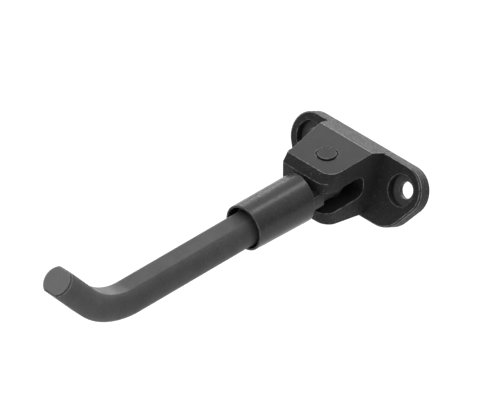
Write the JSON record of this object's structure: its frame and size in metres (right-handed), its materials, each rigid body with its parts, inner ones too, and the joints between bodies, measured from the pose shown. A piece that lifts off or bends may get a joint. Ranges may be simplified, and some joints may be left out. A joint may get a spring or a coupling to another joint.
{
  "type": "side stand",
  "caption": "Folding side stand: cast bracket with a screw flange, hinge pin, bent leg bar and a spring-loaded sleeve at its root.",
  "frame": {"origin": "where the leg's centre line meets the mounting face", "axes": "-Y along the deployed leg, +Z along the hinge pin towards its head, +X towards the side the leg folds to"},
  "size_m": [0.0602, 0.1473, 0.0411],
  "materials": {
    "cast_black": "satin black coating on a casting",
    "coated_black": "satin black coating on steel",
    "spring_steel": "oiled spring steel",
    "bush_bronze": "bronze-coloured bush, worn bright",
    "washer_plastic": "black nylon"
  },
  "bodies": {
    "bracket_body": {"bracket": "cast_black", "hinge_pin": "coated_black", "pin_retaining_clip": "spring_steel", "upper_thrust_washer": "washer_plastic", "lower_thrust_washer": "washer_plastic"},
    "leg": {"leg_bar": "coated_black", "pivot_bush": "bush_bronze", "spring_seat_washer": "spring_steel", "spring_retaining_ring": "spring_steel"},
    "sleeve": {"lock_sleeve": "coated_black", "sleeve_spring": "spring_steel"}
  },
  "joints": [
    {"name": "leg_hinge", "type": "hinge", "parent": "bracket_body", "child": "leg", "pos_m": [0, -0.0183, 0], "axis": [0, 0, 1], "range_deg": [0, 90]},
    {"name": "sleeve_slide", "type": "slide", "parent": "leg", "child": "sleeve", "axis": [0, -1, 0], "range_m": [0, 0.0025], "deforming": ["sleeve_spring"]}
  ],
  "couplings": [
    {"joint": "sleeve_slide", "follows": "leg_hinge", "m_per_rad": 0.00159}
  ]
}
